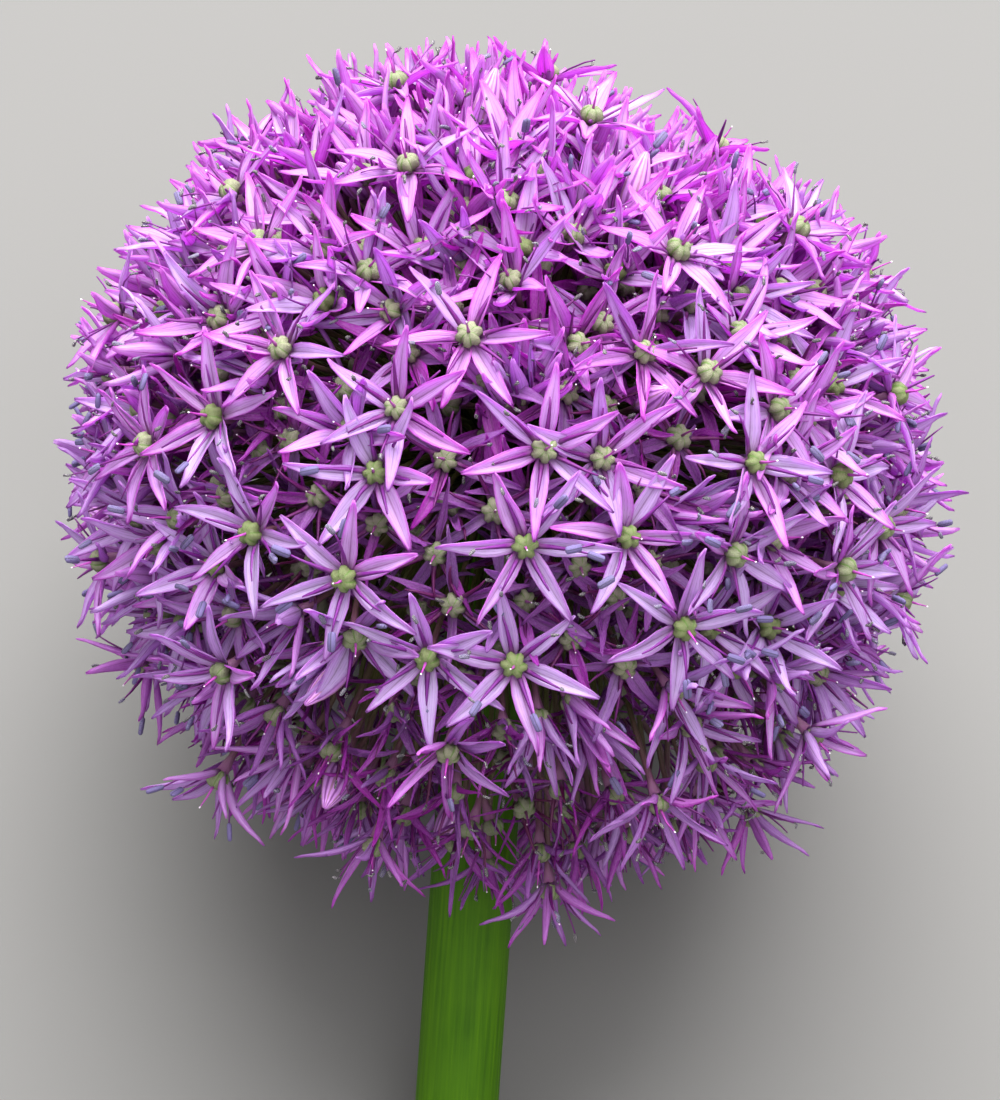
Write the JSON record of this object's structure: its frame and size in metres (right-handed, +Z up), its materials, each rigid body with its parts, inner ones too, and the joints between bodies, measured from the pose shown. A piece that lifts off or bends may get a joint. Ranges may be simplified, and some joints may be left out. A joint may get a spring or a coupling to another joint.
{
  "type": "allium flower head",
  "caption": "Round allium flower head with star-shaped purple florets on thin pedicels round a receptacle, picked with a short thick stalk and laid on its side.",
  "frame": {"origin": "on the surface that the flower head lies on, under the middle of its box", "axes": "+Y runs level from the cut end of the stalk towards the head, +X to the right of someone who looks along +Y, +Z up from the surface"},
  "size_m": [0.1614, 0.1934, 0.1572],
  "materials": {
    "stalk": "living green stalk skin, smooth, with a faint waxy bloom",
    "tepal": "thin purple petal tissue with fine lengthwise veins and a darker midrib, soft satin",
    "bud": "closed purple petal tissue with darker lengthwise stripes, soft satin"
  },
  "bodies": {
    "root": {"flower_stalk": "stalk", "floret_01": "tepal", "floret_02": "tepal", "floret_03": "tepal", "floret_04": "tepal", "floret_05": "tepal", "floret_06": "tepal", "floret_07": "tepal", "floret_08": "tepal", "floret_09": "tepal", "floret_10": "tepal", "floret_11": "tepal", "floret_12": "tepal", "floret_13": "tepal", "floret_14": "tepal", "floret_15": "tepal", "floret_16": "tepal", "floret_17": "tepal", "floret_18": "tepal", "floret_19": "tepal", "floret_20": "tepal", "floret_21": "tepal", "floret_22": "tepal", "floret_23": "tepal", "floret_24": "tepal", "floret_25": "tepal", "floret_26": "tepal", "floret_27": "tepal", "floret_28": "tepal", "floret_29": "tepal", "floret_30": "tepal", "floret_31": "tepal", "floret_32": "tepal", "floret_33": "tepal", "floret_34": "tepal", "floret_35": "tepal", "floret_36": "tepal", "floret_37": "tepal", "floret_38": "tepal", "floret_39": "tepal", "floret_40": "tepal", "floret_41": "tepal", "floret_42": "tepal", "floret_43": "tepal", "floret_44": "tepal", "floret_45": "tepal", "floret_46": "tepal", "floret_47": "tepal", "floret_48": "tepal", "floret_49": "tepal", "floret_50": "tepal", "floret_51": "tepal", "floret_52": "tepal", "floret_53": "tepal", "floret_54": "tepal", "floret_55": "tepal", "bud_1": "bud", "bud_2": "bud", "bud_3": "bud", "bud_4": "bud"}
  },
  "joints": []
}
